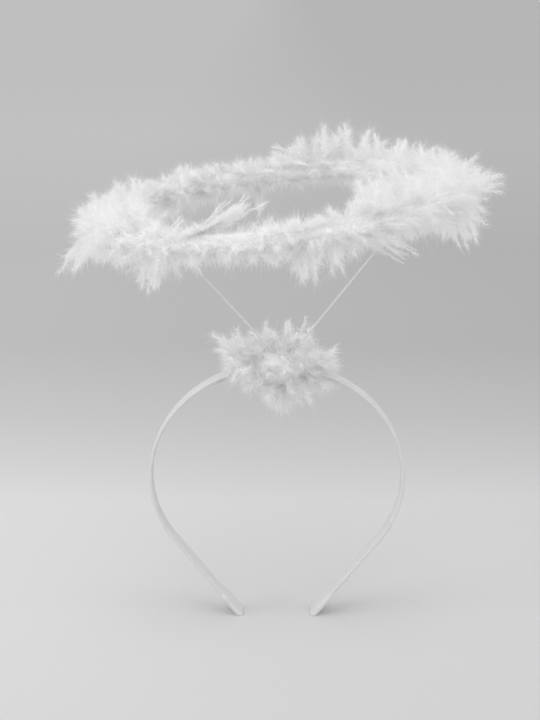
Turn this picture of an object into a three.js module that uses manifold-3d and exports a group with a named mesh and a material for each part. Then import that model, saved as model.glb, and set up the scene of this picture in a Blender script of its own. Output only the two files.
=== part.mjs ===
// Halo headband: a ribbon wound band that stands on its two tips, two covered wires that rise from its
// crown, and a ring of marabou that they hold above it. Millimetres, +Z up, front towards -Y.
import * as THREE from "three";
import { mergeVertices } from "three/addons/utils/BufferGeometryUtils.js";
import Module from "manifold-3d";

const wasm = await Module();
wasm.setup();

// Free space between pieces that touch on the real thing
const clearance = 0.3;

// Band: half an ellipse over the head, a bend at each side and two straight legs
const bandWidth = 130;
const bandSideHeight = 75;
const bandCrownRise = 59.5;
const bandSideRadius = 54;
const bandTipSpacing = 38;
const bandThickness = 2;
const bandDepth = 10;
const bandCorner = 0.5;

// Tips: the ribbon is folded over the ends of the band
const tipThickness = 3.2;
const tipDepth = 12;
const tipLength = 12;
const tipShoulder = 3;

// Binding that holds the feet of the two wires on the crown
const bindingLength = 14;
const bindingWall = 2.4;

// Ring of the halo, by the centre line of its wire
const haloDiameter = 171;
const haloHeight = 214.5;
const haloForward = 0;
const haloRoll = 6.5;
const haloPitch = 1.5;
const haloWire = 1.6;

// Stems: wires that stand on the crown and end under a winding of the same wire on the ring
const stemWire = 1;
const stemFootSpacing = 5;
const stemFootShift = 3.2;
const stemDrop = 2.5;
const stemAngleLeft = -30;
const stemAngleRight = 38;
const knotTurns = 2.5;
const knotSpacing = 1.7;
const knotNotch = 7;

// Marabou round the ring: a soft core, and locks that stand out from it
const haloCore = 9;
const haloLockLength = 14;
const haloLockWidth = 16;
const haloComb = 0.4; // share by which locks below the front and above the back are longer, and the others shorter

// Marabou round the binding
const puffWidth = 36;
const puffHeight = 25;
const puffDepth = 30;
const puffRise = 3;
const puffLockLength = 17;
const puffLockWidth = 12;

// How finely the round forms are cut into flats
const wireSides = 6;
const ringSteps = 60;
const coreSides = 8;
const coreSteps = 48;
const lockSides = 5;
const stemSteps = 30;
const knotSteps = 10;
const bandSpacing = 8;

// Where the ring's fluff is fuller: place round the ring from the front, spread of it, and extra share
const swells = [
  { around: -88, spread: 24, extra: 0.35 },
  { around: 62, spread: 26, extra: 0.2 },
  { around: 96, spread: 26, extra: 0.45 },
  { around: 160, spread: 14, extra: 0.55 },
  { around: -150, spread: 40, extra: -0.22 },
  { around: -35, spread: 18, extra: -0.15 },
];

// Rows of locks on the ring: angle round the section from straight out, number in the row, length as a
// share of the lock length, and how far each lock leans along the ring
const haloRows = [
  { tilt: 10, count: 15, reach: 1.0, lean: 0.5 },
  { tilt: 65, count: 13, reach: 0.9, lean: -0.4 },
  { tilt: 130, count: 10, reach: 0.8, lean: 0.6 },
  { tilt: 225, count: 9, reach: 0.6, lean: -0.6 },
  { tilt: 290, count: 14, reach: 0.9, lean: 0.4 },
];

// Single plumes that show apart: place round the ring, angle round the section, length and width as
// shares of a lock's, lean along the ring and droop
const haloPlumes = [
  { around: -27, tilt: 138, reach: 2.1, width: 0.6, lean: 1.2, droop: -0.1 },
  { around: 2, tilt: 55, reach: 0.9, width: 0.8, lean: 0.1, droop: 0.3 },
  { around: 9, tilt: 280, reach: 1.3, width: 0.8, lean: 0.2, droop: 0.15 },
  { around: -5, tilt: 272, reach: 0.9, width: 0.8, lean: -0.2, droop: 0.15 },
  { around: 50, tilt: 300, reach: 1.6, width: 0.5, lean: 0.8, droop: 0.1 },
  { around: 72, tilt: 290, reach: 1.3, width: 0.8, lean: 0.2, droop: 0.2 },
  { around: -48, tilt: 285, reach: 0.9, width: 0.8, lean: -0.3, droop: 0.2 },
  { around: -88, tilt: 325, reach: 1.3, width: 0.9, lean: 0.1, droop: 0.2 },
  { around: -72, tilt: 318, reach: 1.1, width: 0.9, lean: -0.3, droop: 0.2 },
  { around: -104, tilt: 315, reach: 1.2, width: 0.9, lean: 0.2, droop: 0.2 },
  { around: 158, tilt: 85, reach: 1.1, width: 1.0, lean: 0.1, droop: 0.0 },
  { around: 166, tilt: 78, reach: 0.9, width: 0.9, lean: -0.2, droop: 0.0 },
];

// Locks of the crown puff: turn about the upright axis from the right towards the back, climb from level,
// and length and width as shares of a lock's
const puffLocks = [
  { turn: 200, climb: 26, reach: 1.45, width: 1.2 },
  { turn: 185, climb: 38, reach: 1.0, width: 1.1 },
  { turn: 215, climb: -2, reach: 0.95, width: 1.0 },
  { turn: 228, climb: -28, reach: 0.85, width: 1.1 },
  { turn: 338, climb: 6, reach: 1.25, width: 1.5 },
  { turn: 350, climb: 24, reach: 1.0, width: 1.1 },
  { turn: 322, climb: -18, reach: 1.05, width: 1.1 },
  { turn: 280, climb: -40, reach: 0.95, width: 1.3 },
  { turn: 300, climb: -32, reach: 0.9, width: 1.1 },
  { turn: 256, climb: -26, reach: 0.85, width: 1.1 },
  { turn: 285, climb: 62, reach: 1.0, width: 1.0 },
  { turn: 300, climb: 40, reach: 0.9, width: 1.0 },
  { turn: 242, climb: 44, reach: 0.9, width: 1.1 },
  { turn: 262, climb: 8, reach: 0.75, width: 1.3 },
  { turn: 22, climb: 18, reach: 1.0, width: 1.2 },
  { turn: 52, climb: -22, reach: 1.0, width: 1.2 },
  { turn: 84, climb: 10, reach: 0.9, width: 1.3 },
  { turn: 96, climb: 48, reach: 1.0, width: 1.1 },
  { turn: 118, climb: -30, reach: 1.05, width: 1.2 },
  { turn: 148, climb: 14, reach: 1.0, width: 1.3 },
  { turn: 60, climb: 42, reach: 0.95, width: 1.1 },
];

const degree = Math.PI / 180;
const up = new THREE.Vector3(0, 0, 1);

// Repeatable numbers from 0 to 1, so that every build scatters the locks alike
function makeScatter(seed) {
  let state = seed;
  return () => {
    state = (state + 0x6d2b79f5) | 0;
    let mixed = Math.imul(state ^ (state >>> 15), 1 | state);
    mixed = (mixed + Math.imul(mixed ^ (mixed >>> 7), 61 | mixed)) ^ mixed;
    return ((mixed ^ (mixed >>> 14)) >>> 0) / 4294967296;
  };
}

// Skin over rings of points that run right handed about the way from one ring to the next. A looped skin
// joins its last ring to its first, and any other is closed by flat ends.
function joinRings(rings, looped = false) {
  const sides = rings[0].length;
  const points = rings.flat();
  const faces = [];
  const spans = looped ? rings.length : rings.length - 1;
  for (let span = 0; span < spans; span += 1) {
    const here = span * sides;
    const there = ((span + 1) % rings.length) * sides;
    for (let side = 0; side < sides; side += 1) {
      const next = (side + 1) % sides;
      faces.push(here + side, here + next, there + next);
      faces.push(here + side, there + next, there + side);
    }
  }
  if (!looped) {
    const last = (rings.length - 1) * sides;
    for (let side = 1; side < sides - 1; side += 1) {
      faces.push(0, side + 1, side);
      faces.push(last, last + side, last + side + 1);
    }
  }
  const geometry = new THREE.BufferGeometry().setFromPoints(points);
  geometry.setIndex(faces);
  return geometry;
}

// Ring of points on an ellipse, from one half axis to the other
function ovalRing(centre, sideAxis, overAxis, sides) {
  return Array.from({ length: sides }, (_, step) => {
    const angle = (2 * Math.PI * step) / sides;
    return centre.clone().addScaledVector(sideAxis, Math.cos(angle)).addScaledVector(overAxis, Math.sin(angle));
  });
}

function toSolid(geometry) {
  const bare = geometry.clone();
  bare.deleteAttribute("normal");
  bare.deleteAttribute("uv");
  const merged = mergeVertices(bare);
  return new wasm.Manifold(new wasm.Mesh({
    numProp: 3,
    vertProperties: new Float32Array(merged.attributes.position.array),
    triVerts: new Uint32Array(merged.index.array),
  }));
}

function toGeometry(solid) {
  const mesh = solid.getMesh();
  const geometry = new THREE.BufferGeometry();
  geometry.setAttribute("position", new THREE.BufferAttribute(new Float32Array(mesh.vertProperties), 3));
  geometry.setIndex(new THREE.BufferAttribute(new Uint32Array(mesh.triVerts), 1));
  return geometry;
}

// The one body that is left when a cut has taken crumbs off the ends of some locks
function largestBody(solid) {
  const bodies = solid.decompose();
  return bodies.reduce((best, body) => (body.volume() > best.volume() ? body : best));
}

// Round bar along a curve
function tube(curve, radius, sides, steps) {
  const corners = Array.from({ length: sides }, (_, side) => {
    const angle = (2 * Math.PI * side) / sides;
    return new THREE.Vector2(radius * Math.cos(angle), radius * Math.sin(angle));
  });
  return new THREE.ExtrudeGeometry(new THREE.Shape(corners), { extrudePath: curve, steps, bevelEnabled: false });
}

// Centre line of the band from the left tip over the crown to the right tip, as x across and y for height
function bandLine() {
  const halfWidth = (bandWidth - bandThickness) / 2;
  const rise = bandCrownRise - bandThickness / 2;
  const bendX = halfWidth - bandSideRadius;
  const tipX = bandTipSpacing / 2;
  const reach = Math.hypot(bendX - tipX, bandSideHeight);
  const lean = Math.atan2(bendX - tipX, bandSideHeight) + Math.asin(bandSideRadius / reach);
  const line = new THREE.Path();
  line.moveTo(-tipX, 0);
  line.lineTo(-bendX - bandSideRadius * Math.cos(lean), bandSideHeight - bandSideRadius * Math.sin(lean));
  line.absarc(-bendX, bandSideHeight, bandSideRadius, Math.PI + lean, Math.PI, true);
  line.absellipse(0, bandSideHeight, halfWidth, rise, Math.PI, 0, true);
  line.absarc(bendX, bandSideHeight, bandSideRadius, 0, -lean, true);
  line.lineTo(tipX, 0);
  return line;
}

// Half thickness and half depth of the band at a distance from its nearer tip
function bandHalfSize(fromTip) {
  const fold = THREE.MathUtils.clamp((tipLength + tipShoulder - fromTip) / tipShoulder, 0, 1);
  return {
    thick: THREE.MathUtils.lerp(bandThickness, tipThickness, fold) / 2,
    deep: THREE.MathUtils.lerp(bandDepth, tipDepth, fold) / 2,
  };
}

// Section of the band: a rectangle with its corners cut off
function bandSection(line, distance, length, grow) {
  const share = Math.min(distance / length, 1);
  const centre = line.getPoint(share);
  const tangent = line.getTangent(share);
  const size = bandHalfSize(Math.min(distance, length - distance));
  const thick = size.thick + grow;
  const deep = size.deep + grow;
  const outline = [
    [thick, deep - bandCorner], [thick, bandCorner - deep], [thick - bandCorner, -deep], [bandCorner - thick, -deep],
    [-thick, bandCorner - deep], [-thick, deep - bandCorner], [bandCorner - thick, deep], [thick - bandCorner, deep],
  ];
  return outline.map(([out, back]) => new THREE.Vector3(
    centre.x - tangent.y * out,
    back,
    centre.y + tangent.x * out,
  ));
}

// Band from one distance along its line to another, thicker all round by the growth
function bandStretch(from, to, grow) {
  const line = bandLine();
  const length = line.getLength();
  const bends = [tipLength, tipLength + tipShoulder, length - tipLength - tipShoulder, length - tipLength];
  const count = Math.max(2, Math.round((to - from) / bandSpacing));
  const even = Array.from({ length: count + 1 }, (_, step) => from + ((to - from) * step) / count);
  const apart = even.filter((place) => bends.every((bend) => Math.abs(bend - place) > bandCorner));
  const stations = [...apart, ...bends.filter((bend) => bend > from && bend < to)].sort((a, b) => a - b);
  return stations.map((place) => bandSection(line, place, length, grow));
}

// Slides an end section along its leg until it lies level on the floor
function levelEnd(section, next) {
  return section.map((point, index) => {
    const leg = point.clone().sub(next[index]);
    return point.clone().addScaledVector(leg, -point.z / leg.z).setZ(0);
  });
}

function makeBand() {
  const rings = bandStretch(0, bandLine().getLength(), 0);
  rings[0] = levelEnd(rings[0], rings[1]);
  rings[rings.length - 1] = levelEnd(rings.at(-1), rings.at(-2));
  return joinRings(rings);
}

const haloPlace = new THREE.Group();
haloPlace.position.set(0, -haloForward, haloHeight);
haloPlace.rotation.set(haloPitch * degree, -haloRoll * degree, 0);
haloPlace.updateMatrixWorld();

// Place on the ring, in the ring's own frame: its centre line, and the ways out, along and up
function ringFrame(around) {
  const angle = around * degree;
  const out = new THREE.Vector3(Math.sin(angle), -Math.cos(angle), 0);
  const along = new THREE.Vector3(Math.cos(angle), Math.sin(angle), 0);
  return { centre: out.clone().multiplyScalar(haloDiameter / 2), out, along };
}

const knotRadius = haloWire / 2 + clearance + stemWire / 2;
const knotLength = knotTurns * knotSpacing;

// Height of the top of the band at a place across the crown
function crownHeight(across) {
  return bandSideHeight + bandCrownRise * Math.sqrt(1 - (across / (bandWidth / 2)) ** 2);
}

// Line of the winding that holds one stem: round the ring's wire, from under it and along it
function knotLine(side, around) {
  const pitchAngle = knotSpacing / (haloDiameter / 2) / degree;
  const points = Array.from({ length: Math.round(knotTurns * knotSteps) + 1 }, (_, step) => {
    const turn = step / knotSteps;
    const { centre, out } = ringFrame(around + side * pitchAngle * (turn - knotTurns / 2));
    const angle = -Math.PI / 2 + 2 * Math.PI * turn;
    centre.addScaledVector(out, knotRadius * Math.cos(angle)).addScaledVector(up, knotRadius * Math.sin(angle));
    return haloPlace.localToWorld(centre);
  });
  return new THREE.CatmullRomCurve3(points);
}

// Line of one stem: up out of the binding, straight to a place below the ring, and up under the winding
function stemLine(side, knot) {
  const footAcross = stemFootShift + (side * stemFootSpacing) / 2;
  const foot = new THREE.Vector3(footAcross, 0, crownHeight(footAcross) + clearance);
  const neck = foot.clone().addScaledVector(up, bindingWall + clearance);
  const end = knot.getPoint(0).addScaledVector(up, -stemWire / 2 - clearance);
  const bend = end.clone().addScaledVector(up, -stemDrop);
  const run = [0.1, 0.5, 0.9].map((share) => neck.clone().lerp(bend, share));
  return new THREE.CatmullRomCurve3([foot, neck, ...run, bend, end]);
}

const stems = [
  { name: "left", side: -1, around: stemAngleLeft },
  { name: "right", side: 1, around: stemAngleRight },
].map((stem) => {
  const knot = knotLine(stem.side, stem.around);
  return { ...stem, knot, line: stemLine(stem.side, knot) };
});

function makeStem(line) {
  return tube(line, stemWire / 2, wireSides, stemSteps);
}

function makeKnot(line) {
  return tube(line, stemWire / 2, wireSides, Math.round(knotTurns * knotSteps));
}

// Room that a stem takes in what it passes through, with free space round it and below its foot
function stemRoom(line) {
  const foot = line.getPoint(0);
  const below = new THREE.LineCurve3(
    foot.clone().addScaledVector(up, -bindingWall),
    foot.clone().addScaledVector(up, clearance),
  );
  const radius = stemWire / 2 + clearance;
  return toSolid(tube(line, radius, wireSides, stemSteps)).add(toSolid(tube(below, radius, wireSides, 1)));
}

// Sleeve round the crown, open where the band and the two wires pass
function makeBinding() {
  const middle = bandLine().getLength() / 2;
  const outer = bandStretch(middle - bindingLength / 2, middle + bindingLength / 2, clearance + bindingWall);
  const inner = bandStretch(middle - bindingLength, middle + bindingLength, clearance);
  let sleeve = toSolid(joinRings(outer)).subtract(toSolid(joinRings(inner)));
  for (const { line } of stems) {
    sleeve = sleeve.subtract(stemRoom(line));
  }
  return sleeve;
}

function makeHaloWire(grow = 0) {
  return new THREE.TorusGeometry(haloDiameter / 2, haloWire / 2 + grow, wireSides, ringSteps);
}

// Pointed lock: its spine bends from its own way towards another, and it is broad and flat below the point
function makeLock({ root, way, bend, broad, length, width }) {
  const flat = broad.clone().cross(way).normalize();
  const across = way.clone().cross(flat).normalize();
  const profile = [
    { share: 0, full: 0.45 },
    { share: 0.5, full: 0.5 },
    { share: 0.82, full: 0.32 },
    { share: 1, full: 0.07 },
  ];
  const rings = profile.map(({ share, full }) => {
    const centre = root.clone().addScaledVector(way, length * share).addScaledVector(bend, length * share * share);
    const wide = across.clone().multiplyScalar(width * full);
    const thin = flat.clone().multiplyScalar(-width * full * 0.55);
    return ovalRing(centre, wide, thin, lockSides);
  });
  return toSolid(joinRings(rings));
}

// How full the fluff is at a place round the ring
function fullness(around) {
  return swells.reduce((sum, { around: middle, spread, extra }) => {
    const apart = Math.abs(THREE.MathUtils.euclideanModulo(around - middle + 180, 360) - 180);
    return sum + extra * Math.exp(-((apart / spread) ** 2));
  }, 1);
}

function makeHaloCore() {
  const rings = Array.from({ length: coreSteps }, (_, step) => {
    const around = (360 * step) / coreSteps;
    const { centre, out } = ringFrame(around);
    const radius = haloCore * fullness(around) ** 0.7;
    const ripple = 1 + 0.07 * Math.sin(step * 2.4);
    return ovalRing(centre, out.clone().multiplyScalar(radius * ripple), up.clone().multiplyScalar(radius / ripple), coreSides);
  });
  return toSolid(joinRings(rings.reverse(), true));
}

// Lock on the ring's core, rooted near its middle so that it joins the core whole
function haloLock({ around, tilt, reach, width, lean, droop }) {
  const { centre, out, along } = ringFrame(around);
  const away = out.clone().multiplyScalar(Math.cos(tilt * degree)).addScaledVector(up, Math.sin(tilt * degree));
  const way = away.clone().addScaledVector(along, lean).normalize();
  const rootDepth = haloCore * 0.4;
  return makeLock({
    root: centre.addScaledVector(away, rootDepth),
    way,
    bend: along.clone().multiplyScalar(lean * 0.3).addScaledVector(up, -droop),
    broad: along,
    length: haloCore - rootDepth + haloLockLength * reach,
    width: haloLockWidth * width,
  });
}

function makeHaloMarabou() {
  const scatter = makeScatter(41);
  const pieces = [makeHaloCore()];
  for (const row of haloRows) {
    const step = 360 / row.count;
    for (let lock = 0; lock < row.count; lock += 1) {
      const around = step * (lock + 0.7 * scatter()) + row.tilt;
      const tilt = row.tilt + 30 * (scatter() - 0.5);
      const combed = 1 - haloComb * Math.sin(tilt * degree) * Math.cos(around * degree);
      pieces.push(haloLock({
        around,
        tilt,
        reach: row.reach * fullness(around) * combed * (0.45 + 0.6 * scatter()),
        width: 0.8 + 0.4 * scatter(),
        lean: row.lean * (0.3 + scatter()),
        droop: 0.15 * scatter(),
      }));
    }
  }
  pieces.push(...haloPlumes.map(haloLock));
  let marabou = wasm.Manifold.union(pieces);
  marabou = marabou.subtract(toSolid(makeHaloWire(clearance)));
  const toRing = haloPlace.matrixWorld.clone().invert().toArray();
  for (const { line, around } of stems) {
    marabou = marabou.subtract(stemRoom(line).transform(toRing));
    marabou = marabou.subtract(knotNotchAt(around));
  }
  return largestBody(marabou);
}

// Notch in the underside of the fluff that leaves a knot free
function knotNotchAt(around) {
  const { centre, along } = ringFrame(around);
  const drop = knotNotch - knotRadius - stemWire / 2 - clearance;
  const half = along.clone().multiplyScalar(knotLength / 2 + stemWire + clearance);
  const middle = centre.addScaledVector(up, -drop);
  const line = new THREE.LineCurve3(middle.clone().sub(half), middle.clone().add(half));
  return toSolid(tube(line, knotNotch, coreSides, 1));
}

function makePuff() {
  const centre = new THREE.Vector3(0, 0, bandSideHeight + bandCrownRise + puffRise);
  const core = new THREE.SphereGeometry(0.5, 10, 8).scale(puffWidth, puffHeight, puffDepth);
  core.rotateX(Math.PI / 2).translate(centre.x, centre.y, centre.z);
  const pieces = [toSolid(core)];
  for (const { turn, climb, reach, width } of puffLocks) {
    const level = new THREE.Vector3(Math.cos(turn * degree), Math.sin(turn * degree), 0);
    const way = level.clone().multiplyScalar(Math.cos(climb * degree)).addScaledVector(up, Math.sin(climb * degree));
    pieces.push(makeLock({
      root: centre.clone().addScaledVector(way, puffHeight * 0.2),
      way,
      bend: up.clone().multiplyScalar(-0.12),
      broad: way.clone().cross(up),
      length: puffHeight * 0.3 + puffLockLength * reach,
      width: puffLockWidth * width,
    }));
  }
  let puff = wasm.Manifold.union(pieces);
  const middle = bandLine().getLength() / 2;
  const past = puffWidth + 2 * puffLockLength;
  puff = puff.subtract(toSolid(joinRings(bandStretch(middle - past, middle + past, clearance))));
  const bindingEnd = bindingLength / 2 + clearance;
  const bindingRoom = bandStretch(middle - bindingEnd, middle + bindingEnd, bindingWall + 2 * clearance);
  puff = puff.subtract(toSolid(joinRings(bindingRoom)));
  for (const { line } of stems) {
    puff = puff.subtract(stemRoom(line));
  }
  return largestBody(puff);
}

const satinRibbon = { color: 0xf1f1f0, roughness: 0.5, metalness: 0 };
const coveredWire = { color: 0xf4f4f4, roughness: 0.55, metalness: 0 };
const whiteMarabou = { color: 0xf8f8f8, roughness: 0.95, metalness: 0 };

function makePiece(name, geometry, finish) {
  const piece = new THREE.Mesh(geometry, new THREE.MeshStandardMaterial(finish));
  piece.name = name;
  geometry.computeVertexNormals();
  return piece;
}

haloPlace.add(
  makePiece("halo_wire", makeHaloWire(), coveredWire),
  makePiece("halo_marabou", toGeometry(makeHaloMarabou()), whiteMarabou),
);

const halo_headband = new THREE.Group();
halo_headband.add(
  makePiece("headband", makeBand(), satinRibbon),
  makePiece("stem_binding", toGeometry(makeBinding()), satinRibbon),
  ...stems.map(({ name, line }) => makePiece(`stem_${name}`, makeStem(line), coveredWire)),
  ...stems.map(({ name, knot }) => makePiece(`knot_${name}`, makeKnot(knot), coveredWire)),
  makePiece("crown_puff", toGeometry(makePuff()), whiteMarabou),
  haloPlace,
);

// The origin goes to the middle of the floor that the whole thing covers
const extent = new THREE.Box3().setFromObject(halo_headband, true);
const middle = extent.getCenter(new THREE.Vector3());
halo_headband.position.set(-middle.x, -middle.y, -extent.min.z);

export default halo_headband;
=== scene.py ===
import bpy
import numpy as np
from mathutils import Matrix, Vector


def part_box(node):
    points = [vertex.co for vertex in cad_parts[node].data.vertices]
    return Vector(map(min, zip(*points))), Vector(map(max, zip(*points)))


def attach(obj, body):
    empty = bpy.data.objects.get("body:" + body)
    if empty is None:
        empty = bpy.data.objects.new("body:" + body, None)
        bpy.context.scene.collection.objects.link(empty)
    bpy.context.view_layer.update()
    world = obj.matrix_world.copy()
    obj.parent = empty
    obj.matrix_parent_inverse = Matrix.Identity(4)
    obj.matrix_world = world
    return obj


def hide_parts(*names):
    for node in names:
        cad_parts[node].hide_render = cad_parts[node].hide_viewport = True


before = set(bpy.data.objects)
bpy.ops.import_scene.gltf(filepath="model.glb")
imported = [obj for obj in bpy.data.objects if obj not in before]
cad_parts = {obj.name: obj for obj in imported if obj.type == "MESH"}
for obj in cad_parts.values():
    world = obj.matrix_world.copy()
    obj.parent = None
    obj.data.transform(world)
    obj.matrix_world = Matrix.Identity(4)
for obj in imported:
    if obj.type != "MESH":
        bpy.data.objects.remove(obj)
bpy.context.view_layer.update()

mm = 0.001
upward = np.array([0.0, 0.0, 1.0])
print("frame loaded")


# Linear colour of an sRGB hex value
def hexColour(value):
    parts = np.array([int(value[place:place + 2], 16) for place in (1, 3, 5)]) / 255
    linear = np.where(parts <= 0.04045, parts / 12.92, ((parts + 0.055) / 1.055) ** 2.4)
    return (*linear.tolist(), 1.0)


# Adds one node to a material, with settings as attributes, inputs as values and links as input to socket
def addNode(material, kind, settings=None, values=None, links=None):
    node = material.node_tree.nodes.new(kind)
    for name, value in (settings or {}).items():
        setattr(node, name, value)
    for name, value in (values or {}).items():
        node.inputs[name].default_value = value
    for name, socket in (links or {}).items():
        material.node_tree.links.new(socket, node.inputs[name])
    return node


def newMaterial(name):
    material = bpy.data.materials.new(name)
    material.use_nodes = True
    material.node_tree.nodes.clear()
    return material


# Piece from whole arrays: points (n, 3), lists of faces by their corners, and values for each point
def makePiece(name, points, faceSets, material, replaced=(), uv=None, values=None):
    corners = np.concatenate([faces.ravel() for faces in faceSets]).astype(np.int32)
    sizes = np.concatenate([np.full(len(faces), faces.shape[1]) for faces in faceSets])
    mesh = bpy.data.meshes.new(name)
    mesh.vertices.add(len(points))
    mesh.vertices.foreach_set("co", np.asarray(points, np.float32).ravel())
    mesh.loops.add(len(corners))
    mesh.loops.foreach_set("vertex_index", corners)
    mesh.polygons.add(len(sizes))
    mesh.polygons.foreach_set("loop_start", (np.cumsum(sizes) - sizes).astype(np.int32))
    mesh.update(calc_edges=True)
    mesh.polygons.foreach_set("use_smooth", np.ones(len(sizes), bool))
    if uv is not None:
        layer = mesh.uv_layers.new(name="surface")
        layer.data.foreach_set("uv", np.asarray(uv, np.float32)[corners].ravel())
    for label, numbers in (values or {}).items():
        attribute = mesh.attributes.new(label, "FLOAT", "POINT")
        attribute.data.foreach_set("value", np.asarray(numbers, np.float32))
    mesh.materials.append(material)
    piece = bpy.data.objects.new(name, mesh)
    bpy.context.scene.collection.objects.link(piece)
    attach(piece, "root")
    if replaced:
        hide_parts(*replaced)
    return piece


def unit(vectors):
    return vectors / np.linalg.norm(vectors, axis=-1, keepdims=True)


# Quads between neighbouring rings of a grid; each ring is closed, and a loop joins the last to the first
def gridFaces(rings, sides, loop=False):
    ring, side = np.meshgrid(np.arange(rings if loop else rings - 1), np.arange(sides), indexing="ij")
    after, beside = (ring + 1) % rings, (side + 1) % sides
    quads = [ring * sides + side, ring * sides + beside, after * sides + beside, after * sides + side]
    return np.stack(quads, axis=-1).reshape(-1, 4)


# Triangles from the two end rings of a grid to a middle point at each end, numbered after the grid's points
def endFaces(rings, sides):
    side = np.arange(sides)
    beside = (side + 1) % sides
    last = (rings - 1) * sides
    start = np.stack([beside, side, np.full(sides, rings * sides)], axis=1)
    finish = np.stack([last + side, last + beside, np.full(sides, rings * sides + 1)], axis=1)
    return np.concatenate([start, finish])


# Grid closed at both ends, with its two end points numbered last
def cappedFaces(rings, sides):
    return [gridFaces(rings, sides), endFaces(rings, sides)]


# Evenly spaced places on a line of points and the ways along it. Each place is the mean of nine on the
# line, as far apart as softness allows, which rounds the corners and leaves the two ends where they are
def evenLine(corners, spacing, softness=0.0):
    corners = np.asarray(corners, float)
    travelled = np.concatenate([[0], np.cumsum(np.linalg.norm(np.diff(corners, axis=0), axis=1))])
    total = travelled[-1]
    count = max(3, int(round(total / spacing)) + 1)
    places = np.linspace(0, total, count)
    room = np.minimum(np.minimum(places, total - places), softness)
    near = places[:, None] + room[:, None] * np.linspace(-1, 1, 9)
    line = np.stack([np.interp(near, travelled, axis).mean(axis=1) for axis in corners.T], axis=1)
    return line, unit(np.gradient(line, axis=0)), places


# Round wire: middle line plus radius times (cosine across + sine over)
def wireSurface(line, along, reference, radius, sides):
    across = unit(np.cross(along, reference))[:, None]
    over = np.cross(along[:, None], across)
    angle = np.linspace(0, 2 * np.pi, sides, endpoint=False)[None, :, None]
    rim = np.cos(angle) * across + np.sin(angle) * over
    return (line[:, None] + radius * rim).reshape(-1, 3)


# Corners and sizes that the frame gives, in metres
bandLow, bandHigh = (np.array(corner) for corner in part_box("headband"))
ringLow, ringHigh = (np.array(corner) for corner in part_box("halo_wire"))
bandMiddle = (bandLow + bandHigh) / 2
ringMiddle = (ringLow + ringHigh) / 2

ring = {
    "wireRadius": 0.8 * mm,
    "radius": 85.5 * mm,
    "roll": np.radians(6.5),     # right side up
    "pitch": np.radians(1.5),    # back up
    "step": 1.5,                 # degrees between the wire's sections
}
turnX = np.array([[1, 0, 0], [0, np.cos(ring["pitch"]), -np.sin(ring["pitch"])],
                  [0, np.sin(ring["pitch"]), np.cos(ring["pitch"])]])
turnY = np.array([[np.cos(ring["roll"]), 0, -np.sin(ring["roll"])], [0, 1, 0],
                  [np.sin(ring["roll"]), 0, np.cos(ring["roll"])]])
ringTurn = turnX @ turnY


# Places round the ring, by degrees from the front towards the right: middle line, ways out, along and up
def ringFrame(around):
    angle = np.radians(np.asarray(around, float))
    out = np.stack([np.sin(angle), -np.cos(angle), np.zeros_like(angle)], axis=-1) @ ringTurn.T
    along = np.stack([np.cos(angle), np.sin(angle), np.zeros_like(angle)], axis=-1) @ ringTurn.T
    up = np.broadcast_to(ringTurn @ upward, out.shape)
    return ringMiddle + ring["radius"] * out, out, along, up


# Turns that point a camera or a lamp along a direction and keep it upright
def turnTowards(direction):
    return np.arctan2(np.hypot(*direction[:2]), -direction[2]), 0, np.arctan2(-direction[0], direction[1])


# Camera: from the front and a little above
view = {
    "distance": 700 * mm,
    "height": 326 * mm,
    "aim": (-3.5 * mm, 136 * mm),     # to the right of the band's middle, and above the floor
    "focal": 72.8,                    # millimetres, on a sensor this high
    "sensor": 36,
}
camera = bpy.data.objects.new("camera", bpy.data.cameras.new("camera"))
camera.data.sensor_fit = "VERTICAL"
camera.data.sensor_height = view["sensor"]
camera.data.lens = view["focal"]
camera.location = (bandMiddle[0], bandMiddle[1] - view["distance"], view["height"])
target = np.array([bandMiddle[0] + view["aim"][0], bandMiddle[1], view["aim"][1]])
camera.rotation_euler = turnTowards(target - np.array(camera.location))
bpy.context.scene.collection.objects.link(camera)
bpy.context.scene.camera = camera

# Soft boxes: place, aim and width in metres, and power in watts; of the two at the sides the left is
# brighter
lights = {
    "overhead": {"place": (0.0, -0.35, 1.1), "aim": (0, -0.1, 0.1), "size": 1.2, "power": 4.5},
    "left": {"place": (-1.62, -0.6, 0.75), "aim": (0, 0, 0.15), "size": 1.36, "power": 11.0},
    "right": {"place": (1.62, -0.6, 0.75), "aim": (0, 0, 0.15), "size": 1.36, "power": 5.2},
    "front": {"place": (0.0, -2.4, 0.86), "aim": (0, 0, 0.2), "size": 1.44, "power": 12.8},
}
for name, light in lights.items():
    lamp = bpy.data.objects.new(name, bpy.data.lights.new(name, "AREA"))
    lamp.data.energy = light["power"]
    lamp.data.size = light["size"]
    lamp.location = light["place"]
    lamp.rotation_euler = turnTowards(np.array(light["aim"]) - np.array(light["place"]))
    bpy.context.scene.collection.objects.link(lamp)

# White tent all round, which fills the shadows
tent = {"colour": "#e6e6e6", "strength": 0.96}
world = bpy.data.worlds.new("softTent")
world.use_nodes = True
world.node_tree.nodes["Background"].inputs["Color"].default_value = hexColour(tent["colour"])
world.node_tree.nodes["Background"].inputs["Strength"].default_value = tent["strength"]
bpy.context.scene.world = world
bpy.context.scene.view_settings.view_transform = "Standard"
print("camera and lights placed")


# Greys of the floor, which change with the distance behind the headband: painted light and shade, the fall of
# the lamps' light, darkest about half a metre behind
floorShading = {
    "tones": [(20.0, "#d3d3d3"), (2.2, "#d1d1d1"), (1.5, "#c8c8c8"), (1.0, "#bdbdbd"), (0.55, "#b5b5b5"),
              (0.34, "#bcbcbc"), (0.24, "#c4c4c4"), (0.16, "#cdcdcd"), (0.05, "#cccccc"), (-0.12, "#c5c5c5")],
    "scale": 0.7,                # metres; tones follow scale / (scale + metres behind), so finest near by
    "edge": 0.25,                # metres to either side, where the shade across ends
    "left": 1.025,               # painted light: brightness at the left edge and at the right one, paler on the side of the brighter lamp
    "right": 0.915,
}
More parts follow.
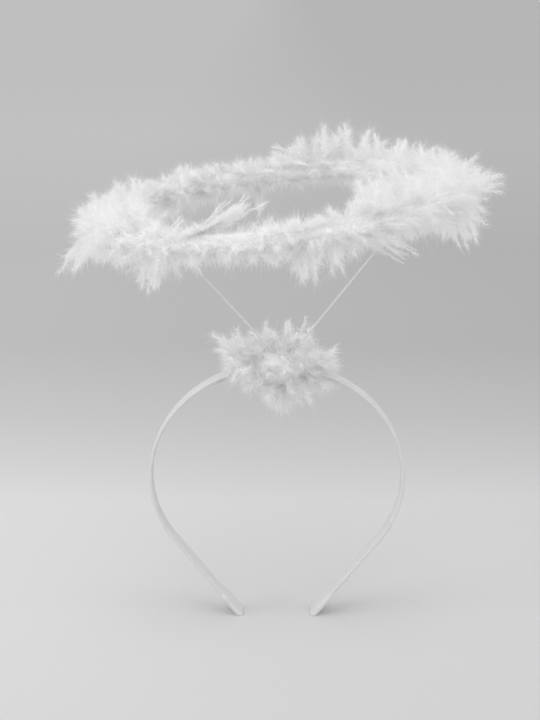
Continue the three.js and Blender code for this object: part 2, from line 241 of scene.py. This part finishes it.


# Matt emulsion paint: hardly any shine, so soft shadows tell where the headband stands. Its greys are painted
# light and shade
def floorMaterial():
    material = newMaterial("mattFloorPaintedShade")
    nearest = floorShading["tones"][-1][0]
    scale = floorShading["scale"]
    greatest = scale / (scale + nearest)
    place = addNode(material, "ShaderNodeTexCoord")
    axes = addNode(material, "ShaderNodeSeparateXYZ", links={"Vector": place.outputs["Object"]})
    behind = addNode(material, "ShaderNodeMath", {"operation": "MAXIMUM"}, {1: nearest}, {0: axes.outputs["Y"]})
    far = addNode(material, "ShaderNodeMath", {"operation": "ADD"}, {1: scale}, {0: behind.outputs["Value"]})
    near = addNode(material, "ShaderNodeMath", {"operation": "DIVIDE"}, {0: scale}, {1: far.outputs["Value"]})
    share = addNode(material, "ShaderNodeMapRange", values={"From Max": greatest},
                    links={"Value": near.outputs["Value"]})
    tones = addNode(material, "ShaderNodeValToRGB", links={"Fac": share.outputs["Result"]})
    stops = tones.color_ramp.elements
    for number, (metres, colour) in enumerate(floorShading["tones"]):
        stop = stops[number] if number < 2 else stops.new(1.0)
        stop.position = scale / (scale + metres) / greatest
        stop.color = hexColour(colour)
    across = addNode(material, "ShaderNodeMapRange", links={"Value": axes.outputs["X"]},
                     values={"From Min": -floorShading["edge"], "From Max": floorShading["edge"],
                             "To Min": floorShading["left"], "To Max": floorShading["right"]})
    # Greys times the fall from left to right: painted light and shade
    paint = addNode(material, "ShaderNodeVectorMath", settings={"operation": "SCALE"},
                    links={"Vector": tones.outputs["Color"], "Scale": across.outputs["Result"]})
    shader = addNode(material, "ShaderNodeBsdfPrincipled", values={"Roughness": 0.9, "Specular IOR Level": 0.2},
                     links={"Base Color": paint.outputs["Vector"]})
    addNode(material, "ShaderNodeOutputMaterial", links={"Surface": shader.outputs["BSDF"]})
    return material


# Floor: one large square, half as wide as this in metres
floorHalf = 20.0
floorMesh = bpy.data.meshes.new("floor")
floorCorners = [(x * floorHalf, y * floorHalf, 0) for x, y in ((-1, -1), (1, -1), (1, 1), (-1, 1))]
floorMesh.from_pydata(floorCorners, [], [(0, 1, 2, 3)])
floorMesh.materials.append(floorMaterial())
floor = bpy.data.objects.new("floor", floorMesh)
bpy.context.scene.collection.objects.link(floor)


# Satin ribbon of woven polyester: a soft sheen, with faint ribs along the weave and slight clouds in its
# white. The ribs are about 0.3 mm apart, coarser than real threads so that they show
def satinMaterial():
    material = newMaterial("wovenSatinRibbon")
    surface = addNode(material, "ShaderNodeUVMap", settings={"uv_map": "surface"})
    threads = addNode(material, "ShaderNodeTexWave", settings={"wave_type": "BANDS", "bands_direction": "X"},
                      values={"Scale": 9.0, "Distortion": 1.5, "Detail": 2.0},
                      links={"Vector": surface.outputs["UV"]})
    place = addNode(material, "ShaderNodeTexCoord")
    cloud = addNode(material, "ShaderNodeTexNoise", values={"Scale": 90.0, "Detail": 3.0},
                    links={"Vector": place.outputs["Object"]})
    colour = addNode(material, "ShaderNodeMix", {"data_type": "RGBA"}, links={"Factor": cloud.outputs["Fac"]})
    colour.inputs["A"].default_value = hexColour("#c0c0c0")
    colour.inputs["B"].default_value = hexColour("#cccccc")
    bump = addNode(material, "ShaderNodeBump", values={"Strength": 0.25, "Distance": 0.08 * mm},
                   links={"Height": threads.outputs["Fac"]})
    sheen = {"Sheen Weight": 0.35, "Sheen Roughness": 0.4, "Anisotropic": 0.4}
    shader = addNode(material, "ShaderNodeBsdfPrincipled", values={"Roughness": 0.42, **sheen},
                     links={"Base Color": colour.outputs["Result"], "Normal": bump.outputs["Normal"]})
    addNode(material, "ShaderNodeOutputMaterial", links={"Surface": shader.outputs["BSDF"]})
    return material


# Cotton covered wire: thread wound tight, which gives fine rings about 0.4 mm apart and a matt face
def coveredWireMaterial():
    material = newMaterial("cottonCoveredWire")
    surface = addNode(material, "ShaderNodeUVMap", settings={"uv_map": "surface"})
    threads = addNode(material, "ShaderNodeTexWave", settings={"wave_type": "BANDS", "bands_direction": "X"},
                      values={"Scale": 0.8, "Distortion": 0.6}, links={"Vector": surface.outputs["UV"]})
    colour = addNode(material, "ShaderNodeMix", {"data_type": "RGBA"}, links={"Factor": threads.outputs["Fac"]})
    colour.inputs["A"].default_value = hexColour("#cccccc")
    colour.inputs["B"].default_value = hexColour("#dcdcdc")
    bump = addNode(material, "ShaderNodeBump", values={"Strength": 0.5, "Distance": 0.1 * mm},
                   links={"Height": threads.outputs["Fac"]})
    shader = addNode(material, "ShaderNodeBsdfPrincipled", values={"Roughness": 0.6, "Sheen Weight": 0.3},
                     links={"Base Color": colour.outputs["Result"], "Normal": bump.outputs["Normal"]})
    addNode(material, "ShaderNodeOutputMaterial", links={"Surface": shader.outputs["BSDF"]})
    return material


# Marabou down: thin keratin that scatters light and lets a share of it pass to what lies behind, which
# gives white fluff its glow; each plume has its own tone between the darker colour and the lighter
def downMaterial(name, passing, darker, lighter):
    material = newMaterial(name)
    tone = addNode(material, "ShaderNodeAttribute", settings={"attribute_name": "plumeToneAndShade"})
    colour = addNode(material, "ShaderNodeMix", {"data_type": "RGBA"}, links={"Factor": tone.outputs["Fac"]})
    colour.inputs["A"].default_value = hexColour(darker)
    colour.inputs["B"].default_value = hexColour(lighter)
    scattered = addNode(material, "ShaderNodeBsdfDiffuse", links={"Color": colour.outputs["Result"]})
    through = addNode(material, "ShaderNodeBsdfTranslucent", links={"Color": colour.outputs["Result"]})
    both = addNode(material, "ShaderNodeMixShader", values={"Fac": passing})
    material.node_tree.links.new(scattered.outputs["BSDF"], both.inputs[1])
    material.node_tree.links.new(through.outputs["BSDF"], both.inputs[2])
    addNode(material, "ShaderNodeOutputMaterial", links={"Surface": both.outputs["Shader"]})
    return material


satin = satinMaterial()
coveredWire = coveredWireMaterial()
down = downMaterial("bleachedMarabouDown", 0.84, "#f2f2f2", "#ffffff")
packedDown = downMaterial("packedMarabouDownPaintedShade", 0.0, "#d0d0d0", "#f8f8f8")     # too thick for light to pass; its greys, with the hearts' low tone, are painted shade deep in the fluff
print("materials made")

band = {
    "sideHeight": 75 * mm,       # of the widest place
    "sideRadius": 54 * mm,       # of the bend below it
    "tipSpacing": 38 * mm,
    "thickness": 2 * mm,
    "depth": 10 * mm,
    "tipThickness": 3.2 * mm,
    "tipDepth": 12 * mm,
    "tipLength": 12 * mm,
    "shoulder": 3 * mm,
    "faceCurve": 0.32,           # powers that shape the section: the lower, the flatter its face or edge
    "edgeCurve": 0.75,
    "wrap": 8.5 * mm,            # ribbon's advance in each turn
    "lap": 0.16 * mm,            # step where one turn lies on the last
    "lapFall": 1.4,              # power by which the step falls across a turn
    "lapEdge": 0.06,             # width of the step's steep side, as a share of a turn
    "step": 0.6 * mm,            # between sections
    "sides": 40,
}


# Middle line of the band in x and z: a straight leg, a bend, half an ellipse, a bend and a leg
def bandLine():
    side, radius = band["sideHeight"], band["sideRadius"]
    halfWidth = (bandHigh[0] - bandLow[0] - band["thickness"]) / 2
    rise = bandHigh[2] - side - band["thickness"] / 2
    bendX = halfWidth - radius
    tipX = band["tipSpacing"] / 2
    reach = np.hypot(bendX - tipX, side)
    lean = np.arctan2(bendX - tipX, side) + np.arcsin(radius / reach)
    bend = np.linspace(lean, 0, 200)
    arch = np.linspace(0, np.pi, 800)
    left = np.column_stack([-bendX - radius * np.cos(bend), side - radius * np.sin(bend)])
    top = np.column_stack([-halfWidth * np.cos(arch), side + rise * np.sin(arch)])
    right = left[::-1] * [-1, 1]
    line = np.concatenate([[[-tipX, 0]], left, top[1:-1], right, [[tipX, 0]]])
    return np.column_stack([line[:, 0] + bandMiddle[0], np.full(len(line), bandMiddle[1]), line[:, 1]])


# Power of a cosine or sine that keeps its sign
def signedPower(wave, power):
    return np.sign(wave) * np.abs(wave) ** power


# Wound band: a flat section with round edges carried along the line. Its skin stands out by the ribbon's
# lap, which falls from the full step at a turn's edge to nothing at the next, along a helix round the
# section. Near the tips each section slides along the leg, more and more, until the last lies level on the
# floor
def makeBand():
    line, along, places = evenLine(bandLine(), band["step"])
    outward = np.column_stack([-along[:, 2], np.zeros(len(line)), along[:, 0]])
    fromTip = np.minimum(places, places[-1] - places)
    fold = np.clip((band["tipLength"] + band["shoulder"] - fromTip) / band["shoulder"], 0, 1)
    fold = (fold * fold * (3 - 2 * fold))[:, None]
    thick = (band["thickness"] + (band["tipThickness"] - band["thickness"]) * fold - band["lap"]) / 2
    deep = (band["depth"] + (band["tipDepth"] - band["depth"]) * fold - band["lap"]) / 2
    turn = np.linspace(0, 2 * np.pi, band["sides"], endpoint=False)[None]
    share = (places[:, None] / band["wrap"] - turn / (2 * np.pi)) % 1.0
    edge = np.clip(share / band["lapEdge"], 0, 1)
    lap = band["lap"] * (1 - share) ** band["lapFall"] * edge * (1 - fold)
    over = (thick + lap) * signedPower(np.cos(turn), band["faceCurve"])
    back = -(deep + lap / 2) * signedPower(np.sin(turn), band["edgeCurve"])
    points = line[:, None] + outward[:, None] * over[..., None] + np.array([0, 1, 0]) * back[..., None]
    steep = np.where(fromTip < band["tipLength"], along[:, 2], 1)
    slide = (1 - np.clip(fromTip / band["tipLength"], 0, 1)) / steep
    points = points - ((points[..., 2] - line[:, 2:3]) * slide[:, None])[..., None] * along[:, None]
    caps = np.stack([points[0].mean(axis=0), points[-1].mean(axis=0)])
    uv = np.stack(np.broadcast_arrays(share, turn / (2 * np.pi)), axis=-1).reshape(-1, 2)
    makePiece("ribbon_wound_band", np.concatenate([points.reshape(-1, 3), caps]),
              cappedFaces(len(line), band["sides"]), satin, ["headband"],
              np.concatenate([uv, np.zeros((2, 2))]))


makeBand()
print("band wound")

wire = {
    "radius": 0.5 * mm,
    "neck": 2.7 * mm,            # straight stretch of a stem above the band
    "drop": 2.5 * mm,            # straight stretch of a stem below its knot
    "bendSoftness": 1.2 * mm,
    "step": 0.5 * mm,            # between sections
    "sides": 16,
}


# Place along a wire in mm and share round it, for its thread pattern
def wireUv(places):
    shareRound = np.linspace(0, 1, wire["sides"])
    return np.stack(np.meshgrid(places / mm, shareRound, indexing="ij"), axis=-1).reshape(-1, 2)


# Wire piece along a line of points
def makeWire(name, corners, reference, replaced, step, softness=0.0):
    line, along, places = evenLine(corners, step, softness)
    points = wireSurface(line, along, reference, wire["radius"], wire["sides"])
    uv = np.concatenate([wireUv(places), np.zeros((2, 2))])
    makePiece(name, np.concatenate([points, line[[0, -1]]]), cappedFaces(len(line), wire["sides"]),
              coveredWire, replaced, uv)


# Stems: up from the foot, straight to a place below the knot, and up to the end
def makeStems():
    for side, sign in (("left", -1), ("right", 1)):
        low, high = (np.array(corner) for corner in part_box(f"stem_{side}"))
        nearX, farX = (high[0], low[0]) if sign < 0 else (low[0], high[0])
        foot = np.array([nearX + sign * wire["radius"], high[1] - wire["radius"], low[2]])
        end = np.array([farX - sign * wire["radius"], low[1] + wire["radius"], high[2]])
        corners = [foot, foot + upward * wire["neck"], end - upward * wire["drop"], end]
        makeWire(f"covered_stem_{side}", corners, np.array([1.0, 0, 0]), [f"stem_{side}"], wire["step"],
                 wire["bendSoftness"])


knot = {
    "left": -30,                 # degrees round the ring
    "right": 38,
    "turns": 2.5,
    "spacing": 1.7 * mm,         # between turns
    "gap": 0.3 * mm,             # between the knot and the ring's wire
    "step": 0.35 * mm,
    "samples": 90,
}


# Knots: a helix round the ring's wire, that is middle + radius * (cosine out + sine up), from below the
# wire
def makeKnots():
    radius = ring["wireRadius"] + knot["gap"] + wire["radius"]
    for side, sign in (("left", -1), ("right", 1)):
        turn = np.linspace(0, knot["turns"], knot["samples"])
        advance = sign * np.degrees(knot["spacing"] / ring["radius"])
        middle, out, along, up = ringFrame(knot[side] + advance * (turn - knot["turns"] / 2))
        angle = (-np.pi / 2 + 2 * np.pi * turn)[:, None]
        helix = middle + radius * (np.cos(angle) * out + np.sin(angle) * up)
        makeWire(f"covered_knot_{side}", helix, along[knot["samples"] // 2], [f"knot_{side}"], knot["step"])


# Ring's wire: middle + radius * (cosine out - sine up), closed on itself
def makeRingWire():
    around = np.arange(0, 360, ring["step"])
    middle, out, _, up = ringFrame(around)
    angle = np.linspace(0, 2 * np.pi, wire["sides"], endpoint=False)[None, :, None]
    skin = middle[:, None] + ring["wireRadius"] * (np.cos(angle) * out[:, None] - np.sin(angle) * up[:, None])
    makePiece("covered_ring_wire", skin.reshape(-1, 3), [gridFaces(len(around), wire["sides"], loop=True)],
              coveredWire, ["halo_wire"], wireUv(np.radians(around) * ring["radius"]))


makeStems()
makeKnots()
makeRingWire()
print("wires wound")

barb = {
    "opening": (74, 44),         # degrees between barb and shaft, at the shaft's root and at its point
    "openingSpread": 12,         # degrees
    "scatter": 45,               # degrees that barbs stray out of the plume's flat
    "crowding": 0.75,            # below 1, barbs stand closer towards the shaft's point
    "taper": 0.55,               # share of its length that a barb lacks at the shaft's point
    "shortest": 0.35,            # share of the plume's reach that the shortest has
    "longer": 0.75,              # share that chance adds to it at most, and the power of that chance
    "longerPower": 1.4,
    "curl": (0.28, -0.2, -0.1),  # along the shaft, away from it and up, as shares of the barb's length
    "spread": 0.32,              # how far each barb strays by itself, as a share of its length
    "wave": 0.04,                # swing of a barb, as a share of its length, and turns of it in radians
    "waveTurns": 7,
    "twist": 1.4,                # radians from root to point
    "thinning": 0.5,             # share of its width lost for each length, before it ends in a point
    "fewest": 20,                # barbs on the shortest plume
    "shareOut": 0.99,            # of the stated number of barbs, which leaves room for the fewest
}

# Barbs cling together in tufts: the push on each is a sum of waves over the place, so that neighbours bend
# the same way
tuft = {"push": 1.6 * mm, "size": 8 * mm, "sizeSpread": (0.7, 1.6), "waves": 7, "seed": 3}
tuftRng = np.random.default_rng(tuft["seed"])
tuftWays = unit(tuftRng.normal(size=(tuft["waves"], 3))) * 2 * np.pi
tuftWays = tuftWays / (tuft["size"] * tuftRng.uniform(*tuft["sizeSpread"], (tuft["waves"], 1)))
tuftPushes = unit(tuftRng.normal(size=(tuft["waves"], 3))) / np.sqrt(tuft["waves"])
tuftPhases = tuftRng.uniform(0, 2 * np.pi, tuft["waves"])


def tuftPush(places):
    waves = zip(tuftWays, tuftPhases, tuftPushes)
    return tuft["push"] * sum(np.sin(places @ way + phase)[..., None] * push for way, phase, push in waves)


# Flat barbs on their shafts. A shaft is root + length * (t * way + t^2 * bend). A barb leaves it at t and
# is start + span * (s * out + s^2 * curl + wave) + s^2 * push; its width falls to a point, and it turns
# along its way. Longer plumes carry more barbs, and all carry more of them towards the shaft's point
def makePlumes(name, rng, plumes, look, replaced):
    root, way, bend, flat, length, reach = plumes
    wanted = look["barbs"] * barb["shareOut"] * length / length.sum()
    barbs = np.maximum(barb["fewest"], wanted.astype(int))
    count = barbs.sum()
    owner = np.repeat(np.arange(len(root)), barbs)
    rank = np.arange(count) - np.repeat(np.cumsum(barbs) - barbs, barbs)
    t = (((rank + rng.random(count)) / barbs[owner]) ** barb["crowding"])[:, None]
    way, bend, flat, length = way[owner], bend[owner], flat[owner], length[owner, None]
    shaft = root[owner] + length * (t * way + t * t * bend)
    tangent = unit(way + 2 * t * bend)
    side = unit(np.cross(tangent, flat))
    face = np.cross(side, tangent)
    turn = np.radians(barb["scatter"] * rng.normal(size=(count, 1))) + np.pi * rng.integers(0, 2, (count, 1))
    atRoot, atPoint = barb["opening"]
    opening = atRoot + (atPoint - atRoot) * t + barb["openingSpread"] * rng.normal(size=(count, 1))
    opening = np.radians(opening)
    radial = np.cos(turn) * side + np.sin(turn) * face
    out = np.cos(opening) * tangent + np.sin(opening) * radial
    chance = barb["shortest"] + barb["longer"] * rng.random((count, 1)) ** barb["longerPower"]
    span = reach[owner, None] * (1 - barb["taper"] * t) * chance
    curl = barb["curl"][0] * tangent + barb["curl"][1] * radial + barb["curl"][2] * upward
    curl = curl + barb["spread"] * rng.normal(size=(count, 3))
    push = tuftPush(shaft + span * out)
    across = unit(np.cross(out, rng.normal(size=(count, 3))))
    over = np.cross(out, across)
    s = np.array([0, 0.5, 1.0])[None, :, None]
    phase = rng.uniform(0, 2 * np.pi, (count, 1, 1))
    wave = barb["wave"] * np.sin(barb["waveTurns"] * s + phase) * s * across[:, None]
    bent = s * out[:, None] + s * s * curl[:, None] + wave
    line = shaft[:, None] + span[:, None] * bent + s * s * push[:, None]
    twist = phase + barb["twist"] * s[:, :2]
    half = look["width"] / 2 * (1 - barb["thinning"] * s[:, :2])
    lean = half * (np.cos(twist) * across[:, None] + np.sin(twist) * over[:, None])
    points = np.concatenate([line[:, :2] - lean, line[:, :2] + lean, line[:, 2:]], axis=1).reshape(-1, 3)
    first = 5 * np.arange(count)[:, None]
    tone = np.repeat(rng.uniform(*look["tones"], len(root))[owner], 5)
    makePiece(name, points, [first + np.array([[0, 2, 3, 1]]), first + np.array([[1, 3, 4]])], down,
              replaced, values={"plumeToneAndShade": tone})
    print(name, len(root), "plumes,", 3 * count, "triangles")


# How far the down stands off the ring's wire: degrees round the ring from the front, then mm above,
# outside, below and inside
haloSection = [
    (-165, 13, 13, 8, 9),
    (-150, 14, 13, 11, 11),
    (-130, 14, 14, 15, 13),
    (-110, 15, 14, 17, 20),
    (-90, 16, 14, 18, 22),
    (-70, 17, 13, 15, 20),
    (-55, 22, 12, 8, 20),
    (-38, 16, 12, 14, 12),
    (-22, 10, 11, 8, 8),
    (-8, 9, 12, 8, 8),
    (4, 12, 12, 13, 8),
    (15, 10, 13, 16, 8),
    (22, 14, 13, 11, 12),
    (30, 20, 14, 6, 18),
    (45, 21, 15, 11, 22),
    (60, 16, 16, 16, 24),
    (90, 15, 17, 22, 24),
    (120, 17, 17, 19, 24),
    (138, 19, 15, 17, 18),
    (150, 24, 14, 10, 10),
    (160, 25, 14, 7, 7),
    (169, 23, 13, 6, 6),
    (176, 19, 12, 6, 6),
    (184, 13, 12, 7, 7),
]


# Reach of the down at places round the ring and round its section: the table's sizes, blended by squared
# sine and cosine
def downReach(around, tilt):
    table = np.array(haloSection, float).T
    above, outside, below, inside = (np.interp(around, table[0], sizes, period=360) for sizes in table[1:])
    level, rise = np.cos(np.radians(tilt)), np.sin(np.radians(tilt))
    sideways = np.where(level > 0, outside, inside) * level ** 2
    upright = np.where(rise > 0, above, below) * rise ** 2
    return (sideways + upright) * mm


halo = {
    "plumes": 1400,
    "barbs": 63000,              # on each quarter of the ring
    "width": 0.16 * mm,          # of a barb, drawn coarser than a real one, about 0.03 mm, so that it shows
    "tones": (0.5, 1.0),         # of its plumes, from the material's darker colour to its lighter one
    "reach": 10 * mm,            # of the longest barbs
    "fringe": 2.0 * mm,          # of the section that is barbs alone, past the shafts' points
    "root": 1.2 * mm,            # of the shafts, from the middle of the wire
    "tiltStep": 137.5,           # degrees round the section from one plume to the next, and their spread
    "tiltSpread": 20,
    "lean": (0.5, 0.8),          # mean and spread, along the ring for each length out
    "sweep": 0.25,               # further lean towards the point, as a share of the lean
    "inward": 0.03,              # bend that keeps leaning plumes by the ring, for each lean squared
    "droop": 0.25,               # greatest
    "stray": 0.1,
    "seed": 7,
}

# Tufts that show apart: degrees round the ring, degrees round its section, plumes, degrees of scatter,
# length and reach in mm, lean and sweep along the ring, and droop
haloTufts = [
    (-31, 60, 34, 2.2, 27, 4.8, 4.0, 0.2, -0.4),
    (-173, 262, 9, 3, 16, 5, 0.1, 0.0, 0.1),
    (-150, 150, 14, 25, 13, 10, 0.5, 0.1, 0.0),
    (-60, 30, 8, 12, 30, 5, 5.0, 1.2, 0.0),
    (-50, 100, 16, 14, 20, 9, 0.0, 0.0, 0.0),
    (34, 105, 20, 14, 20, 9, 0.0, 0.0, 0.0),
    (160, 85, 20, 16, 19, 11, 0.0, 0.0, 0.0),
    (2, 55, 8, 5, 14, 9, 0.1, 0.0, 0.3),
    (10, 278, 9, 9, 15, 9, 0.2, 0.0, 0.15),
    (25, 285, 6, 4, 20, 4, 0.9, 0.2, 0.1),
    (72, 290, 10, 8, 19, 9, 0.2, 0.0, 0.2),
    (-38, 285, 9, 7, 15, 8, -0.3, 0.0, 0.2),
    (-88, 325, 10, 8, 20, 10, 0.1, 0.0, 0.2),
    (-104, 315, 8, 8, 18, 9, 0.2, 0.0, 0.2),
    (88, -5, 9, 14, 20, 9, 0.1, 0.0, 0.0),
]


haloHeart = {
    "radius": 4.2 * mm,
    "sides": 14,
    "step": 1.0,                 # degrees between sections
    "roughness": 0.13,
    "waves": 9,
    # low in the packed down's greys: painted shade of the heart inside the fluff
    "tone": 0.1,
    "seed": 5,
}


# Heart of the ring, where the plumes' ends are packed tight: a tube about the ring's wire, its radius a
# mean value times one plus a few waves along and round it
def makeHaloHeart():
    rng = np.random.default_rng(haloHeart["seed"])
    around = np.arange(0, 360, haloHeart["step"])
    angle = np.linspace(0, 2 * np.pi, haloHeart["sides"], endpoint=False)
    middle, out, _, up = ringFrame(around)
    turn = np.radians(around)[:, None]
    rough = 0
    for _ in range(haloHeart["waves"]):
        along, across, phase = rng.integers(8, 70), rng.integers(-3, 4), rng.uniform(0, 6.28)
        rough = rough + np.sin(turn * along + angle * across + phase) / np.sqrt(haloHeart["waves"])
    radius = haloHeart["radius"] * (1 + haloHeart["roughness"] * rough)[..., None]
    angle = angle[:, None]
    skin = middle[:, None] + radius * (np.cos(angle) * out[:, None] - np.sin(angle) * up[:, None])
    makePiece("marabou_heart", skin.reshape(-1, 3), [gridFaces(len(around), haloHeart["sides"], loop=True)],
              packedDown, ["halo_marabou"],
              values={"plumeToneAndShade": np.full(skin.size // 3, haloHeart["tone"])})


# Fluff of the ring: plumes all round, then the tufts that show apart, made in quarters
def makeHalo():
    rng = np.random.default_rng(halo["seed"])
    count = halo["plumes"]
    around = (np.arange(count) + rng.random(count)) * 360 / count - 180
    tilt = np.arange(count) * halo["tiltStep"] + halo["tiltSpread"] * rng.normal(size=count)
    lean = halo["lean"][0] + halo["lean"][1] * rng.normal(size=count)
    length = (downReach(around, tilt) - halo["fringe"]) * rng.uniform(0.7, 1.1, count)
    reach = halo["reach"] * rng.uniform(0.75, 1.1, count)
    sweep = halo["sweep"] * lean
    droop = rng.uniform(0.0, halo["droop"], count)
    tufts = np.array(haloTufts, float)
    tufts = np.repeat(tufts, tufts[:, 2].astype(int), axis=0)
    scatter = tufts[:, 3] * rng.normal(size=(2, len(tufts)))
    around = np.concatenate([around, tufts[:, 0] + 0.5 * scatter[0]])
    tilt = np.concatenate([tilt, tufts[:, 1] + scatter[1]])
    length = np.concatenate([length, tufts[:, 4] * mm * rng.uniform(0.7, 1.05, len(tufts))])
    reach = np.concatenate([reach, tufts[:, 5] * mm])
    lean = np.concatenate([lean, tufts[:, 6]])[:, None]
    sweep = np.concatenate([sweep, tufts[:, 7]])[:, None]
    droop = np.concatenate([droop, tufts[:, 8]])[:, None]
    middle, out, along, up = ringFrame(around)
    tilt = np.radians(tilt)[:, None]
    away = np.cos(tilt) * out + np.sin(tilt) * up
    root = middle + halo["root"] * away
    way = unit(away + lean * along)
    bend = sweep * along - halo["inward"] * lean ** 2 * out - droop * upward
    bend = bend + halo["stray"] * rng.normal(size=way.shape)
    flat = unit(np.cross(way, rng.normal(size=way.shape)))
    quarters = ((around + 45) % 360 // 90).astype(int)
    for part, name in enumerate(["marabou_front", "marabou_right", "marabou_back", "marabou_left"]):
        plumes = [values[quarters == part] for values in (root, way, bend, flat, length, reach)]
        makePlumes(name, rng, plumes, halo, ["halo_marabou"])


makeHaloHeart()
makeHalo()

puff = {
    "barbs": 30000,
    "width": 0.2 * mm,           # of a barb, drawn coarser than a real one, as on the ring
    # Tones lower than the ring's: painted shade from the ring above the puff, besides each plume's own tone
    "tones": (0.35, 0.8),
    "rise": -1.5 * mm,           # of its middle above the band's crown
    "rootDepth": 0.9,            # of the shafts' roots, as a share of the heart
    "rootScatter": 2.2 * mm,
    "droop": 0.1,
    "stray": 0.2,
    "seed": 19,
}

# Tufts of the puff: degrees round from the right towards the back, climb from level, plumes, degrees of
# scatter, length, reach and shift to the right in mm
puffTufts = [
    (194, 33, 34, 20, 14, 9, -2),
    (212, 10, 16, 20, 6, 9, -4),
    (348, 1, 34, 20, 12, 10, 3),
    (322, -14, 18, 20, 6, 9, 4),
    (277, -64, 24, 15, 10, 9, 2),
    (232, 8, 12, 25, 5, 8, -2),
    (306, 4, 12, 25, 5, 8, 2),
    (270, -5, 50, 60, 3, 6, 0),
    (225, 45, 16, 22, 9, 9, -2),
    (310, 45, 16, 22, 6, 9, 2),
    (300, 72, 12, 9, 13, 6, 8),
    (90, 50, 14, 35, 9, 8, 0),
    (90, -10, 24, 40, 9, 9, 0),
]


puffHeart = {
    "size": (18 * mm, 12 * mm, 10 * mm),     # half, across, from front to back and in height
    "rings": 16,
    "sides": 30,
    "roughness": 0.12,
    "waves": 6,
    "waveSpread": 5,
    # low in the packed down's greys: painted shade of the heart inside the fluff
    "tone": 0.1,
    "seed": 9,
}


# Heart of the puff: an oval ball over the binding, swollen and dented by a few waves
def makePuffHeart(middle):
    rng = np.random.default_rng(puffHeart["seed"])
    climb = np.linspace(-np.pi / 2, np.pi / 2, puffHeart["rings"] + 2)[1:-1, None]
    turn = np.linspace(0, 2 * np.pi, puffHeart["sides"], endpoint=False)[None]
    level = np.cos(climb)
    way = np.stack(np.broadcast_arrays(np.cos(turn) * level, np.sin(turn) * level, np.sin(climb)), axis=-1)
    rough = 0
    for _ in range(puffHeart["waves"]):
        wave = way @ (puffHeart["waveSpread"] * rng.normal(size=3)) + rng.uniform(0, 6.28)
        rough = rough + np.sin(wave)[..., None] / puffHeart["waves"]
    skin = middle + (1 + puffHeart["roughness"] * rough) * way * puffHeart["size"]
    poles = middle + np.array([[0, 0, -1.0], [0, 0, 1.0]]) * puffHeart["size"]
    points = np.concatenate([skin.reshape(-1, 3), poles])
    makePiece("marabou_puff_heart", points, cappedFaces(puffHeart["rings"], puffHeart["sides"]), packedDown,
              ["crown_puff"], values={"plumeToneAndShade": np.full(len(points), puffHeart["tone"])})


# Fluff of the puff: plumes from about the heart's skin outwards, in the table's tufts
def makePuff():
    rng = np.random.default_rng(puff["seed"])
    table = np.array(puffTufts, float)
    turn, climb, _, scatter, length, reach, shift = np.repeat(table, table[:, 2].astype(int), axis=0).T
    count = len(turn)
    climb = np.radians(climb + scatter * rng.normal(size=count))
    turn = np.radians(turn + scatter * rng.normal(size=count))
    way = np.column_stack([np.cos(turn) * np.cos(climb), np.sin(turn) * np.cos(climb), np.sin(climb)])
    middle = np.array([bandMiddle[0], bandMiddle[1], bandHigh[2] + puff["rise"]])
    makePuffHeart(middle)
    root = middle + puff["rootDepth"] * way * puffHeart["size"]
    root = root + puff["rootScatter"] * rng.normal(size=way.shape)
    root = root + np.outer(shift * rng.uniform(-0.1, 0.8, count) * mm, [1, 0, 0])
    length = length * rng.uniform(0.5, 1.05, count) * mm
    reach = reach * rng.uniform(0.8, 1.1, count) * mm
    bend = -puff["droop"] * upward + puff["stray"] * rng.normal(size=way.shape)
    flat = unit(np.cross(way, rng.normal(size=way.shape)))
    makePlumes("marabou_crown_puff", rng, (root, way, bend, flat, length, reach), puff, ["crown_puff"])


makePuff()
print("marabou made")

# Binding of the stems, which keeps its shape and takes the ribbon's satin
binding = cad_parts["stem_binding"]
binding.data.materials.clear()
binding.data.materials.append(satin)
